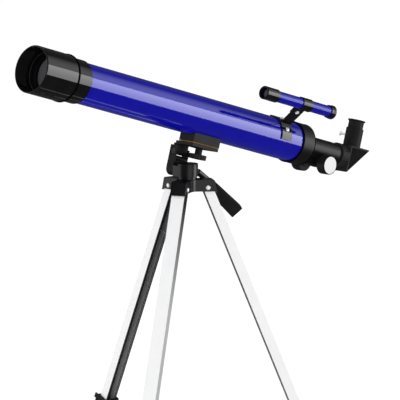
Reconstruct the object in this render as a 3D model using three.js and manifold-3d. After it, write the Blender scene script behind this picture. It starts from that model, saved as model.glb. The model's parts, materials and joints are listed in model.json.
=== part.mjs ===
// A small refractor telescope on a folding tripod, in millimetres, +Z up.
// The tube points towards -Y. X runs across the tube, and the eyepiece end is at +Y.
// Pieces of the tube and its cradle are drawn in the tube's own frame:
// X across it, Y along it towards the eyepiece (a "station"), Z square to it, away from the tripod.

import * as THREE from 'three';
import { mergeVertices } from 'three/addons/utils/BufferGeometryUtils.js';
import Module from 'manifold-3d';

const wasm = await Module();
wasm.setup();

const DEG = Math.PI / 180;
const FIT = 0.3;                    // the gap left between pieces that touch
const WIDE = 40;                    // sides of a tube-sized round shape
const MEDIUM = 24;
const SMALL = 12;

// ---- Driving dimensions ----

const TUBE_RADIUS = 27;
const TUBE_WALL = 0.8;
const TUBE_TILT = 15.42 * DEG;      // the objective end is held up by this much
const TUBE_HEIGHT = 95.62;          // tube axis above the leg pivots, square to the tube
const SHADE_RADIUS = 31;
const SHADE_WALL = 1.7;
const BAND_RADIUS = 28.8;           // the rings at both ends of the painted tube
const DRAWTUBE_RADIUS = 15.3;
const DRAWTUBE_WALL = 1.4;
const EYEPIECE_RADIUS = 10.8;
const HOLDER_RADIUS = 12.3;
const FINDER_RADIUS = 7.7;
const FINDER_DISTANCE = 69.1;       // finder axis from the tube axis
const FINDER_ANGLE = 43.9 * DEG;      // round the tube from its top, towards +X

// Stations along the tube, from the foot of the mount's own perpendicular
const SHADE_FRONT = -310.5;
const SHADE_REAR = -254.2;
const CELL_REAR = -230.2;
const LENS_FRONT = -277;
const COLLAR_FRONT = 174.2;
const COLLAR_REAR = 197.3;
const DRAWTUBE_REAR = 267.2;
const DIAGONAL_FRONT = 282;
const EYEPIECE_STATION = 299;
const FOCUS_STATION = 233;
const FOCUS_DROP = 19.2;            // focus shaft below the tube axis
const FINDER_FRONT = 56.8;
const FINDER_REAR = 195;
const BRACKET_STATION = 138.5;
const BRACKET_WIDTH = 19;

// Rack and pinion
const PINION_TEETH = 10;
const TOOTH_MODULE = 0.66;
const PITCH_RADIUS = PINION_TEETH * TOOTH_MODULE / 2;
const TOOTH_PITCH = Math.PI * TOOTH_MODULE;

// Cradle and head
const SADDLE_FRONT = -19.4;
const SADDLE_LENGTH = 49.4;
const SADDLE_HALF_WIDTH = 14;
const SADDLE_BOTTOM = -35.6;
const CORK_THICKNESS = 1;
const PLATE_THICKNESS = 4.2;
const PLATE_BOTTOM = SADDLE_BOTTOM - CORK_THICKNESS - PLATE_THICKNESS - 2 * FIT;
const CAMERA_SCREW_STATION = 7.3;
const ARM_NEAR = -14.8;             // the tilt arm's side next to the pan base, in X
const ARM_WIDTH = 11.8;
const FLIP_PIN_X = -20.4;           // the pin that the camera plate flips on, for portrait use
const FLIP_PIN_Z = -51.5;
const TILT_AXIS_Y = -4.7;           // from the pan axis
const TILT_AXIS_Z = 23;             // above the leg pivots
const TILT_BARREL_RADIUS = 9.3;
const BASE_RADIUS = 14.3;
const BASE_BOTTOM = 14.9;
const BASE_TOP = 31.8;
const LUG_FAR = -13.6;
const HANDLE_ANGLE = 35.4 * DEG;    // the pan handle points down by this much
const HANDLE_TWIST = 32.6 * DEG;    // where the flat grip came to rest when it was screwed in

// Tripod
const HUB_TOP = 10.6;
const HUB_BOTTOM = -5.1;
const HUB_RADIUS = 14;
const NECK_RADIUS = 13;
const ARM_HALF_WIDTH = 10.3;
const ARM_REACH = 37.6;
const SPINDLE_RADIUS = 5;
const PIVOT_RADIUS = 26.8;
const RIVET_RADIUS = 2;
const CHANNEL_WIDTH = 18.13;
const CHANNEL_DEPTH = 12.98;
const CHANNEL_WALL = 1;
const CHANNEL_LENGTH = 352;         // below the pivot
const INNER_LENGTH = 330;
const INNER_SHOWN = 52;             // how far the lower section is drawn out at rest
const LEG_SPLAY = 22.93 * DEG;
const LEG_TURNS = [-62.1, 57.9, 177.9];
const LEG_NAMES = ['front', 'rear', 'far'];

// ---- Materials ----

const finish = (color, roughness, metalness) =>
  new THREE.MeshStandardMaterial({ color, roughness, metalness, flatShading: true });

const BLUE = finish(0x14109a, 0.22, 0.1);
const GLOSS_BLACK = finish(0x101012, 0.28, 0.0);
const MATT_BLACK = finish(0x161618, 0.7, 0.0);
const ALUMINIUM = finish(0xd9dadd, 0.32, 0.85);
const BRIGHT = finish(0xe8e8ea, 0.18, 0.95);
const DARK_STEEL = finish(0x3a3b3e, 0.35, 0.9);
const BRASS = finish(0xb08d3c, 0.35, 0.9);
const LENS = finish(0x24303a, 0.05, 0.0);
const MIRROR = finish(0xf2f4f6, 0.04, 1.0);
const CORK = finish(0xb4763a, 0.9, 0.0);
const RUBBER = finish(0x1b1b1b, 0.85, 0.0);

// ---- Solid modelling ----

function solidOf(geometry) {
  const bare = geometry.clone();
  bare.deleteAttribute('normal');
  bare.deleteAttribute('uv');
  const welded = mergeVertices(bare, 1e-4);
  const place = welded.attributes.position.array;
  const corner = welded.index.array;
  const kept = [];
  let volume = 0;
  const point = (i) => new THREE.Vector3().fromArray(place, 3 * i);
  for (let i = 0; i < corner.length; i += 3) {
    const [a, b, c] = [corner[i], corner[i + 1], corner[i + 2]];
    if (a === b || b === c || c === a) continue;
    kept.push(a, b, c);
    volume += point(a).dot(point(b).cross(point(c)));
  }
  if (volume < 0) kept.reverse();
  return new wasm.Manifold(new wasm.Mesh({
    numProp: 3,
    vertProperties: new Float32Array(place),
    triVerts: new Uint32Array(kept),
  }));
}

function geometryOf(solid) {
  const mesh = solid.getMesh();
  const geometry = new THREE.BufferGeometry();
  geometry.setAttribute('position', new THREE.BufferAttribute(mesh.vertProperties, 3));
  geometry.setIndex(new THREE.BufferAttribute(mesh.triVerts, 1));
  geometry.computeVertexNormals();
  return geometry;
}

const piece = (name, solid, material) => {
  const mesh = new THREE.Mesh(geometryOf(solid), material);
  mesh.name = name;
  return mesh;
};

const joined = (first, ...others) => others.reduce((sum, other) => sum.add(other), first);
const cut = (body, ...tools) => tools.reduce((rest, tool) => rest.subtract(tool), body);

// A block between two corners
function block(low, high) {
  const size = high.map((value, i) => value - low[i]);
  const geometry = new THREE.BoxGeometry(...size);
  geometry.translate(...low.map((value, i) => value + size[i] / 2));
  return solidOf(geometry);
}

// A round shape about Y from [radius, station] corners; the outline closes on itself
function turned(outline, segments = WIDE) {
  const points = outline.map(([radius, station]) => new THREE.Vector2(radius, station));
  if (outline[0][0] > 0) points.push(points[0].clone());
  return solidOf(new THREE.LatheGeometry(points, segments));
}

const ring = (outer, inner, from, to, segments = WIDE) =>
  turned([[outer, from], [outer, to], [inner, to], [inner, from]], segments);

const disc = (radius, from, to, segments = WIDE) =>
  turned([[0, from], [radius, from], [radius, to], [0, to]], segments);

const upright = (solid) => solid.rotate([90, 0, 0]);     // what ran along Y now runs along Z
const sideways = (solid) => solid.rotate([0, 0, -90]);   // what ran along Y now runs along X

// A flat outline in the Y-Z plane, given thickness along X
function sidePlate(points, fromX, toX) {
  const shape = new THREE.Shape(points.map(([y, z]) => new THREE.Vector2(y, z)));
  const geometry = new THREE.ExtrudeGeometry(shape, { depth: toX - fromX, bevelEnabled: false });
  geometry.rotateZ(Math.PI / 2);
  geometry.rotateY(Math.PI / 2);
  geometry.translate(fromX, 0, 0);
  return solidOf(geometry);
}

// A flat outline in the X-Y plane, given thickness along Z
function flatPlate(points, fromZ, toZ) {
  const shape = new THREE.Shape(points.map(([x, y]) => new THREE.Vector2(x, y)));
  const geometry = new THREE.ExtrudeGeometry(shape, { depth: toZ - fromZ, bevelEnabled: false });
  geometry.translate(0, 0, fromZ);
  return solidOf(geometry);
}

function arc(radius, fromDeg, toDeg, steps) {
  return Array.from({ length: steps + 1 }, (_, i) => {
    const angle = (fromDeg + (toDeg - fromDeg) * i / steps) * DEG;
    return [radius * Math.cos(angle), radius * Math.sin(angle)];
  });
}

// A round-headed screw about Y: the head starts at 0 and bulges towards -Y, the shank runs to +Y
function roundScrew(headRadius, headHeight, shankRadius, shankLength, segments = SMALL) {
  const steps = 4;
  const dome = Array.from({ length: steps + 1 }, (_, i) => {
    const angle = Math.PI / 2 * i / steps;
    return [headRadius * Math.sin(angle), -headHeight * Math.cos(angle)];
  });
  const shank = [[shankRadius, 0], [shankRadius, shankLength], [0, shankLength]];
  return turned([...dome, [headRadius, 0], ...shank], segments);
}

// ---- Optical tube ----

const LENS_RADIUS = 25.2;
const CELL_FRONT = LENS_FRONT - 5;

function mainTube() {
  const front = LENS_FRONT + 19;
  const wall = ring(TUBE_RADIUS, TUBE_RADIUS - TUBE_WALL, front, COLLAR_FRONT - FIT, WIDE);
  return cut(wall, ...bracketScrewHoles());
}

function dewShade() {
  const inner = SHADE_RADIUS - SHADE_WALL;
  return turned([
    [SHADE_RADIUS - 0.6, SHADE_FRONT],
    [SHADE_RADIUS, SHADE_FRONT + 0.8],
    [SHADE_RADIUS, SHADE_REAR - 0.5],
    [SHADE_RADIUS - 0.5, SHADE_REAR],
    [inner, SHADE_REAR],
    [inner, SHADE_FRONT],
  ], WIDE);
}

function objectiveCell() {
  const bore = TUBE_RADIUS + FIT;
  const seat = LENS_RADIUS + FIT;
  const shoulder = LENS_FRONT + 14;
  return turned([
    [BAND_RADIUS, CELL_FRONT],
    [BAND_RADIUS, CELL_REAR - 0.4],
    [BAND_RADIUS - 0.4, CELL_REAR],
    [bore, CELL_REAR],
    [bore, LENS_FRONT + 18],
    [24, LENS_FRONT + 18],
    [24, shoulder],
    [seat, shoulder],
    [seat, CELL_FRONT],
  ], WIDE);
}

function retainingRing() {
  const front = CELL_FRONT - 7;
  return turned([
    [27.6, front],
    [BAND_RADIUS, front + 1],
    [BAND_RADIUS, CELL_FRONT - FIT],
    [LENS_RADIUS, CELL_FRONT - FIT],
    [LENS_RADIUS, LENS_FRONT - FIT],
    [23.4, LENS_FRONT - FIT],
    [23.4, CELL_FRONT + 1],
    [25.2, CELL_FRONT - 1],
    [25.2, front],
  ], WIDE);
}

// A lens about Y with a spherical front and back; a positive bulge swells outwards
function lens(radius, from, to, frontBulge, rearBulge, segments) {
  const steps = 3;
  const face = (edge, bulge, outwards) => Array.from({ length: steps + 1 }, (_, i) => {
    const share = i / steps;
    return [radius * share, edge + outwards * bulge * (1 - share * share)];
  });
  return turned([...face(from, frontBulge, -1), ...face(to, rearBulge, 1).reverse()], segments);
}

function focuserHousing() {
  const guide = DRAWTUBE_RADIUS + FIT;
  const plug = TUBE_RADIUS - TUBE_WALL - FIT;
  const plugFront = COLLAR_FRONT - 24;
  const collar = turned([
    [plug, plugFront],
    [plug, COLLAR_FRONT],
    [BAND_RADIUS, COLLAR_FRONT],
    [BAND_RADIUS, COLLAR_REAR - 1.2],
    [BAND_RADIUS - 1.2, COLLAR_REAR],
    [guide, COLLAR_REAR],
    [guide, plugFront],
  ], WIDE);
  const bracketRear = FOCUS_STATION + 12;
  const bottom = -24.3;
  const waist = -21.6;
  const bracket = sidePlate([
    [COLLAR_REAR - 3, -12],
    [COLLAR_REAR - 3, bottom + 1],
    [COLLAR_REAR + 12, bottom + 0.6],
    [COLLAR_REAR + 16, waist],
    [FOCUS_STATION - 7.5, waist],
    [FOCUS_STATION - 5, bottom],
    [bracketRear - 4.5, bottom],
    [bracketRear, bottom + 4.5],
    [bracketRear, -12],
  ], -7, 7);
  const guideBore = disc(guide, plugFront - 1, bracketRear + 1, WIDE);
  const rackSlot = block([-3.6, plugFront - 1, -17.2], [3.6, bracketRear + 1, -12]);
  const pinionPocket = sideways(disc(4.3, -4.3, 4.3, MEDIUM)).translate([0, FOCUS_STATION, -FOCUS_DROP]);
  const shaftHole = sideways(disc(2.3, -10, 10, SMALL)).translate([0, FOCUS_STATION, -FOCUS_DROP]);
  return cut(joined(collar, bracket), guideBore, rackSlot, pinionPocket, shaftHole);
}

const RACK_FROM = 185;
const RACK_TEETH = 37;

function drawtube() {
  const bore = DRAWTUBE_RADIUS - DRAWTUBE_WALL;
  const socket = HOLDER_RADIUS + FIT;
  const socketDepth = 26;
  const body = turned([
    [DRAWTUBE_RADIUS, COLLAR_FRONT - 34],
    [DRAWTUBE_RADIUS, DRAWTUBE_REAR - 3.4],
    [DRAWTUBE_RADIUS - 0.6, DRAWTUBE_REAR - 1.4],
    [DRAWTUBE_RADIUS - 1.8, DRAWTUBE_REAR],
    [socket, DRAWTUBE_REAR],
    [socket, DRAWTUBE_REAR - socketDepth],
    [bore, DRAWTUBE_REAR - socketDepth - 1.5],
    [bore, COLLAR_FRONT - 34],
  ], WIDE);
  // The pitch line is one pitch radius above the shaft; a tooth gap sits straight above it
  const pitchLine = -FOCUS_DROP + PITCH_RADIUS;
  const root = pitchLine + 1.35 * TOOTH_MODULE;
  const tip = pitchLine - 0.8 * TOOTH_MODULE;
  const rackStart = FOCUS_STATION - Math.round((FOCUS_STATION - RACK_FROM) / TOOTH_PITCH) * TOOTH_PITCH;
  const outline = [[rackStart, -14.4], [rackStart, root]];
  for (let i = 0; i < RACK_TEETH; i += 1) {
    const middle = rackStart + (i + 0.5) * TOOTH_PITCH;
    outline.push([middle - 0.30 * TOOTH_PITCH, root], [middle - 0.09 * TOOTH_PITCH, tip]);
    outline.push([middle + 0.09 * TOOTH_PITCH, tip], [middle + 0.30 * TOOTH_PITCH, root]);
  }
  const rackEnd = rackStart + RACK_TEETH * TOOTH_PITCH;
  outline.push([rackEnd, root], [rackEnd, -14.4]);
  return joined(body, sidePlate(outline, -3, 3));
}

function focusShaft() {
  const shaft = sideways(disc(2, -SHAFT_FAR, SHAFT_NEAR, SMALL));
  const outline = [];
  const tip = PITCH_RADIUS + 0.8 * TOOTH_MODULE;
  const root = PITCH_RADIUS - 1.2 * TOOTH_MODULE;
  for (let i = 0; i < PINION_TEETH; i += 1) {
    const middle = Math.PI / 2 + 2 * Math.PI * i / PINION_TEETH;
    const step = 2 * Math.PI / PINION_TEETH;
    for (const [share, radius] of [[-0.28, root], [-0.08, tip], [0.08, tip], [0.28, root]]) {
      outline.push([radius * Math.cos(middle + share * step), radius * Math.sin(middle + share * step)]);
    }
  }
  return joined(shaft, sidePlate(outline, -3.5, 3.5)).translate([0, FOCUS_STATION, -FOCUS_DROP]);
}

const KNOB_RADIUS = 13.3;
const KNOB_LENGTH = 15.3;
const KNOB_INNER_NEAR = 13.3;       // each knob's inner face from the tube's middle plane
const KNOB_INNER_FAR = 17.6;
const CAP_RADIUS = 12.2;
const SHAFT_NEAR = KNOB_INNER_NEAR + KNOB_LENGTH - 2;
const SHAFT_FAR = KNOB_INNER_FAR + KNOB_LENGTH - 2;

// Drawn from its inner face at 0
function focusKnob() {
  return turned([
    [2.3, 0],
    [6, 0],
    [6.6, 1.6],
    [KNOB_RADIUS - 0.7, 1.6],
    [KNOB_RADIUS, 2.3],
    [KNOB_RADIUS, KNOB_LENGTH - 0.8],
    [KNOB_RADIUS - 0.8, KNOB_LENGTH],
    [2.3, KNOB_LENGTH],
  ], MEDIUM);
}

function knobCap() {
  return turned([
    [0, KNOB_LENGTH + FIT],
    [CAP_RADIUS, KNOB_LENGTH + FIT],
    [CAP_RADIUS, KNOB_LENGTH + 0.9],
    [CAP_RADIUS - 0.5, KNOB_LENGTH + 1.2],
    [0, KNOB_LENGTH + 1.2],
  ], MEDIUM);
}

function onNearSide(solid) {
  return sideways(solid).translate([KNOB_INNER_NEAR, FOCUS_STATION, -FOCUS_DROP]);
}

function onFarSide(solid) {
  return sideways(solid).rotate([0, 180, 0]).translate([-KNOB_INNER_FAR, FOCUS_STATION, -FOCUS_DROP]);
}

// ---- Star diagonal and eyepiece ----

const DIAGONAL_SIZE = 38;
const DIAGONAL_HALF_WIDTH = 16;
const DIAGONAL_TOP = 17;
const DIAGONAL_WALL = 2;
const COLLAR_RADIUS = 17.1;         // the diagonal's collar round its nose

function diagonalBody() {
  const rear = DIAGONAL_FRONT + DIAGONAL_SIZE;
  const bottom = DIAGONAL_TOP - DIAGONAL_SIZE;
  const shell = sidePlate([
    [DIAGONAL_FRONT, DIAGONAL_TOP],
    [DIAGONAL_FRONT, bottom],
    [DIAGONAL_FRONT + 1, bottom],
    [rear, DIAGONAL_TOP - 1],
    [rear, DIAGONAL_TOP],
  ], -DIAGONAL_HALF_WIDTH, DIAGONAL_HALF_WIDTH);
  const innerFront = DIAGONAL_FRONT + DIAGONAL_WALL;
  const innerTop = DIAGONAL_TOP - DIAGONAL_WALL;
  const innerLeg = DIAGONAL_SIZE - 2 * DIAGONAL_WALL - 0.75;
  const innerHalf = DIAGONAL_HALF_WIDTH - 3;
  const hollow = sidePlate([
    [innerFront, innerTop],
    [innerFront, innerTop - innerLeg],
    [innerFront + innerLeg, innerTop],
  ], -innerHalf, innerHalf);
  const rim = 2.6;
  const panelLeg = DIAGONAL_SIZE - rim - 2.4;
  const panel = [
    [DIAGONAL_FRONT + rim, DIAGONAL_TOP - rim],
    [DIAGONAL_FRONT + rim, DIAGONAL_TOP - rim - panelLeg],
    [DIAGONAL_FRONT + rim + panelLeg, DIAGONAL_TOP - rim],
  ];
  const recess = 0.9;
  const nearPanel = sidePlate(panel, DIAGONAL_HALF_WIDTH - recess, DIAGONAL_HALF_WIDTH + 1);
  const farPanel = sidePlate(panel, -DIAGONAL_HALF_WIDTH - 1, -DIAGONAL_HALF_WIDTH + recess);
  const nose = turned([
    [HOLDER_RADIUS, DIAGONAL_FRONT - 38],
    [HOLDER_RADIUS, DIAGONAL_FRONT - 13.8],
    [COLLAR_RADIUS - 0.6, DIAGONAL_FRONT - 13.8],
    [COLLAR_RADIUS, DIAGONAL_FRONT - 13.2],
    [COLLAR_RADIUS, DIAGONAL_FRONT + 0.5],
    [10.6, DIAGONAL_FRONT + 0.5],
    [10.6, DIAGONAL_FRONT - 38],
  ]);
  const light = disc(10.6, DIAGONAL_FRONT - 1, DIAGONAL_FRONT + DIAGONAL_WALL + 1);
  const wayUp = upright(disc(HOLDER_RADIUS - 1.4, innerTop - 1, DIAGONAL_TOP + 2))
    .translate([0, EYEPIECE_STATION, 0]);
  return cut(joined(shell, nose), hollow, light, wayUp, nearPanel, farPanel);
}

function diagonalMirror() {
  // The reflecting face meets the tube axis straight under the eyepiece, at 45 degrees
  const half = 14;
  const thickness = 2;
  const slab = block([-12.4, -half, -thickness], [12.4, half, 0]);
  return slab.rotate([45, 0, 0]).translate([0, EYEPIECE_STATION, 0]);
}

const HOLDER_TOP = 43.2;

// Round about Z, at the eyepiece station
const atEyepiece = (solid) => solid.rotate([90, 0, 0]).translate([0, EYEPIECE_STATION, 0]);

function eyepieceHolder() {
  const bore = EYEPIECE_RADIUS + FIT;
  const seat = DIAGONAL_TOP + FIT;
  const tube = turned([
    [HOLDER_RADIUS + 0.6, seat],
    [HOLDER_RADIUS, seat + 1.2],
    [HOLDER_RADIUS, HOLDER_TOP - 0.5],
    [HOLDER_RADIUS - 0.5, HOLDER_TOP],
    [bore, HOLDER_TOP],
    [bore, seat + 3],
    [HOLDER_RADIUS - 1.8, seat + 3],
    [HOLDER_RADIUS - 1.8, seat],
  ], MEDIUM);
  return cut(atEyepiece(tube), thumbscrewHole());
}

const THUMBSCREW_HEIGHT = 32.3;
const towardsThumbscrew = (solid) =>
  solid.rotate([0, 0, -45]).translate([0, EYEPIECE_STATION, THUMBSCREW_HEIGHT]);

const thumbscrewHole = () => towardsThumbscrew(disc(1.8, -16, -8, SMALL));

function eyepieceThumbscrew() {
  const screw = turned([
    [0, -20.6],
    [2.6, -20.6],
    [3.1, -20],
    [3.1, -17.6],
    [2.4, -17],
    [1.5, -17],
    [1.5, -EYEPIECE_RADIUS - FIT],
    [0, -EYEPIECE_RADIUS - FIT],
  ], SMALL);
  return towardsThumbscrew(screw);
}

const EYEPIECE_TOP = 55.2;

function eyepieceBody() {
  const barrel = turned([
    [EYEPIECE_RADIUS, DIAGONAL_TOP + 4],
    [EYEPIECE_RADIUS, EYEPIECE_TOP - 2.6],
    [12.4, EYEPIECE_TOP - 1.7],
    [12.4, EYEPIECE_TOP - 0.4],
    [11.9, EYEPIECE_TOP],
    [10.6, EYEPIECE_TOP],
    [6, EYEPIECE_TOP - 2.4],
    [6, EYEPIECE_TOP - 8],
    [9.4, EYEPIECE_TOP - 8],
    [9.4, DIAGONAL_TOP + 4],
  ], MEDIUM);
  return atEyepiece(barrel);
}

const eyeLens = () => atEyepiece(lens(8.9, EYEPIECE_TOP - 13, EYEPIECE_TOP - 8.6, 0.2, 0, SMALL));
const fieldLens = () => atEyepiece(lens(9, DIAGONAL_TOP + 7, DIAGONAL_TOP + 11, 0.2, 1.4, SMALL));

// ---- Finder ----

const finderPlace = new THREE.Vector3(
  FINDER_DISTANCE * Math.sin(FINDER_ANGLE), 0, FINDER_DISTANCE * Math.cos(FINDER_ANGLE));

// Drawn about the finder's own axis, with +Z pointing away from the tube
const onFinder = (solid) =>
  solid.rotate([0, FINDER_ANGLE / DEG, 0]).translate(finderPlace.toArray());

const finderTube = () =>
  onFinder(ring(FINDER_RADIUS, FINDER_RADIUS - 0.8, FINDER_FRONT + 6, FINDER_REAR - 5.8, MEDIUM));

function finderShade() {
  const bore = FINDER_RADIUS + FIT;
  return onFinder(turned([
    [8.6, FINDER_FRONT],
    [9.1, FINDER_FRONT + 0.6],
    [9.1, FINDER_FRONT + 24.6],
    [bore, FINDER_FRONT + 24.6],
    [bore, FINDER_FRONT + 5.7],
    [7.3, FINDER_FRONT + 5.7],
    [7.3, FINDER_FRONT],
  ], MEDIUM));
}

const finderObjective = () => onFinder(lens(6.6, FINDER_FRONT + 8, FINDER_FRONT + 10.6, 0.5, 0.2, SMALL));
const finderEyeLens = () => onFinder(lens(4.6, FINDER_REAR - 6.6, FINDER_REAR - 4.4, 0.3, 0.3, SMALL));

function finderEyepiece() {
  const bore = FINDER_RADIUS + FIT;
  return onFinder(turned([
    [8.7, FINDER_REAR - 9],
    [9.1, FINDER_REAR - 8.6],
    [9.1, FINDER_REAR - 4.4],
    [9.7, FINDER_REAR - 3.6],
    [9.7, FINDER_REAR - 0.6],
    [9.2, FINDER_REAR],
    [4, FINDER_REAR - 1],
    [4, FINDER_REAR - 4],
    [4.9, FINDER_REAR - 4],
    [4.9, FINDER_REAR - 5.4],
    [bore, FINDER_REAR - 5.4],
    [bore, FINDER_REAR - 9],
  ], MEDIUM));
}

const BRACKET_SHEET = 1.6;
const BRACKET_SCREW_ANGLE = 20.5;   // each foot screw from the arm, round the tube
const RING_OUTER = 9;

const bracketFrom = BRACKET_STATION - BRACKET_WIDTH / 2;
const bracketTo = BRACKET_STATION + BRACKET_WIDTH / 2;

// Holes square to the tube wall, one each side of the bracket's arm
function bracketScrewHoles() {
  const hole = upright(disc(1.8, 20, 34, SMALL)).translate([0, BRACKET_STATION, 0]);
  return [-1, 1].map((side) => hole.rotate([0, FINDER_ANGLE / DEG + side * BRACKET_SCREW_ANGLE, 0]));
}

function bracketScrew(side) {
  const screw = roundScrew(3.2, 2, 1.4, 6).rotate([-90, 0, 0]);
  const seated = screw.translate([0, BRACKET_STATION, TUBE_RADIUS + BRACKET_SHEET + 2 * FIT]);
  return seated.rotate([0, FINDER_ANGLE / DEG + side * BRACKET_SCREW_ANGLE, 0]);
}

function finderBracket() {
  const inside = TUBE_RADIUS + FIT;
  const outside = inside + BRACKET_SHEET;
  const footAngle = 50;
  const foot = flatPlate([
    ...arc(outside, 90 - footAngle, 90 + footAngle, SMALL),
    ...arc(inside, 90 + footAngle, 90 - footAngle, SMALL),
  ], -bracketTo, -bracketFrom).rotate([90, 0, 0]);
  const top = FINDER_DISTANCE - RING_OUTER - FIT;
  const arm = block([-BRACKET_SHEET / 2, bracketFrom, outside - 0.5], [BRACKET_SHEET / 2, bracketTo, top]);
  const armHole = sideways(disc(1.8, -3, 3, SMALL)).translate([0, BRACKET_STATION, FINDER_SCREW_HEIGHT]);
  const turnedOver = cut(joined(foot, arm), armHole).rotate([0, FINDER_ANGLE / DEG, 0]);
  return cut(turnedOver, ...bracketScrewHoles());
}

const FINDER_SCREW_HEIGHT = 53;     // the ring's clamp screw from the tube axis

function finderRing() {
  const band = ring(RING_OUTER, FINDER_RADIUS + FIT, bracketFrom, bracketTo, MEDIUM);
  const drop = FINDER_SCREW_HEIGHT - FINDER_DISTANCE - 4;
  const near = -BRACKET_SHEET / 2 - FIT;
  const tab = block([near - 1.4, bracketFrom, drop], [near, bracketTo, -FINDER_RADIUS - 0.9]);
  const hole = sideways(disc(1.8, -5, 0, SMALL))
    .translate([0, BRACKET_STATION, FINDER_SCREW_HEIGHT - FINDER_DISTANCE]);
  return onFinder(cut(joined(band, tab), hole));
}

function finderRingScrew() {
  const screw = roundScrew(3.1, 1.8, 1.4, 5.2);
  const across = screw.rotate([0, 0, 90])
    .translate([BRACKET_SHEET / 2 + FIT, BRACKET_STATION, FINDER_SCREW_HEIGHT]);
  return across.rotate([0, FINDER_ANGLE / DEG, 0]);
}

// ---- Cradle and tilting head ----

const saddleRear = SADDLE_FRONT + SADDLE_LENGTH;
const CAMERA_SCREW_RADIUS = 3.1;

const cameraScrewHole = (from, to) =>
  upright(disc(CAMERA_SCREW_RADIUS + FIT, from, to, MEDIUM)).translate([0, CAMERA_SCREW_STATION, 0]);

function saddle() {
  const half = SADDLE_HALF_WIDTH;
  const body = block([-half, SADDLE_FRONT, SADDLE_BOTTOM], [half, saddleRear, -20]);
  const cradle = disc(TUBE_RADIUS + FIT, SADDLE_FRONT - 1, saddleRear + 1, WIDE);
  return cut(body, cradle, cameraScrewHole(SADDLE_BOTTOM - 1, -29));
}

function corkPad() {
  const half = SADDLE_HALF_WIDTH;
  const top = SADDLE_BOTTOM - FIT;
  const bottom = top - CORK_THICKNESS;
  const pad = block([-half, SADDLE_FRONT, bottom], [half, saddleRear, top]);
  return cut(pad, cameraScrewHole(bottom - 1, top + 1));
}

const FORK_FRONT = SADDLE_FRONT - 0.6;
const FORK_WALL = 3;
const KNUCKLE_FROM = FORK_FRONT + FORK_WALL + 0.4;
const KNUCKLE_LENGTH = 19.6;
const KNUCKLE_RADIUS = 4.4;
const FLIP_PIN_RADIUS = 2.2;

const alongFlipPin = (solid) => solid.translate([FLIP_PIN_X, 0, FLIP_PIN_Z]);

function cameraPlate() {
  const left = -18.8;
  const top = PLATE_BOTTOM + PLATE_THICKNESS;
  const plate = block([left, SADDLE_FRONT, PLATE_BOTTOM], [SADDLE_HALF_WIDTH, saddleRear - 0.9, top]);
  const knuckleTo = KNUCKLE_FROM + KNUCKLE_LENGTH;
  const knuckle = alongFlipPin(disc(KNUCKLE_RADIUS, KNUCKLE_FROM, knuckleTo, MEDIUM));
  const web = block(
    [FLIP_PIN_X - KNUCKLE_RADIUS, KNUCKLE_FROM, FLIP_PIN_Z],
    [FLIP_PIN_X + KNUCKLE_RADIUS, knuckleTo, PLATE_BOTTOM + 1]);
  const pinHole = alongFlipPin(disc(FLIP_PIN_RADIUS + FIT, KNUCKLE_FROM - 1, knuckleTo + 1, SMALL));
  return cut(joined(plate, knuckle, web), pinHole, cameraScrewHole(PLATE_BOTTOM - 1, top + 1));
}

function cameraKnob() {
  const stud = disc(CAMERA_SCREW_RADIUS, -51, -30, SMALL);
  const stem = disc(4.9, -51, PLATE_BOTTOM - FIT, MEDIUM);
  const grips = 20;
  const outline = Array.from({ length: grips * 4 }, (_, i) => {
    const radius = i % 4 < 2 ? 12 : 11.5;
    const angle = 2 * Math.PI * i / (grips * 4);
    return [radius * Math.cos(angle), radius * Math.sin(angle)];
  });
  const grip = flatPlate(outline, -56.2, -50);
  return joined(upright(joined(stud, stem)), grip).translate([0, CAMERA_SCREW_STATION, 0]);
}

// The tilt axis in the tube's frame
const tiltStation = TILT_AXIS_Y * Math.cos(TUBE_TILT) - TILT_AXIS_Z * Math.sin(TUBE_TILT);
const tiltHeight = TILT_AXIS_Y * Math.sin(TUBE_TILT) + TILT_AXIS_Z * Math.cos(TUBE_TILT) - TUBE_HEIGHT;

const alongTiltAxis = (solid) => sideways(solid).translate([0, tiltStation, tiltHeight]);

const RAIL_HEIGHT = -60.6;
const RAIL_RADIUS = 3.8;
const TILT_BOLT_RADIUS = 3;

function tiltArm() {
  const far = ARM_NEAR - ARM_WIDTH;
  const strapTop = FLIP_PIN_Z + 8;
  const strap = block([far, FORK_FRONT, tiltHeight], [ARM_NEAR, FORK_FRONT + FORK_WALL, strapTop]);
  const barrel = alongTiltAxis(disc(TILT_BARREL_RADIUS, far, ARM_NEAR, WIDE));
  const railRear = KNUCKLE_FROM + KNUCKLE_LENGTH + 2.4;
  const railX = ARM_NEAR - RAIL_RADIUS;
  const rail = disc(RAIL_RADIUS, FORK_FRONT + 1, railRear, MEDIUM).translate([railX, 0, RAIL_HEIGHT]);
  const ear = block([far + 1, railRear - 2, RAIL_HEIGHT], [ARM_NEAR, railRear, FLIP_PIN_Z + 4.6]);
  const web = sidePlate([
    [FORK_FRONT + 1, RAIL_HEIGHT],
    [FORK_FRONT + 1, tiltHeight],
    [tiltStation + 6, tiltHeight],
    [railRear, RAIL_HEIGHT - 1],
    [railRear, RAIL_HEIGHT],
  ], ARM_NEAR - 6, ARM_NEAR - 1.5);
  const gusset = sidePlate([
    [railRear - 4, RAIL_HEIGHT],
    [railRear - 4, RAIL_HEIGHT - 3],
    [railRear + 3, RAIL_HEIGHT - 3],
  ], ARM_NEAR - 3.4, ARM_NEAR);
  const boltHole = alongTiltAxis(disc(TILT_BOLT_RADIUS + FIT, far - 1, ARM_NEAR + 1, SMALL));
  const pinHole = alongFlipPin(disc(FLIP_PIN_RADIUS + FIT, FORK_FRONT - 1, railRear + 1, SMALL));
  const counterbore = alongFlipPin(disc(5.2, FORK_FRONT - 1, FORK_FRONT + 1.9, MEDIUM));
  return cut(joined(strap, barrel, rail, ear, web, gusset), boltHole, pinHole, counterbore);
}

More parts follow.
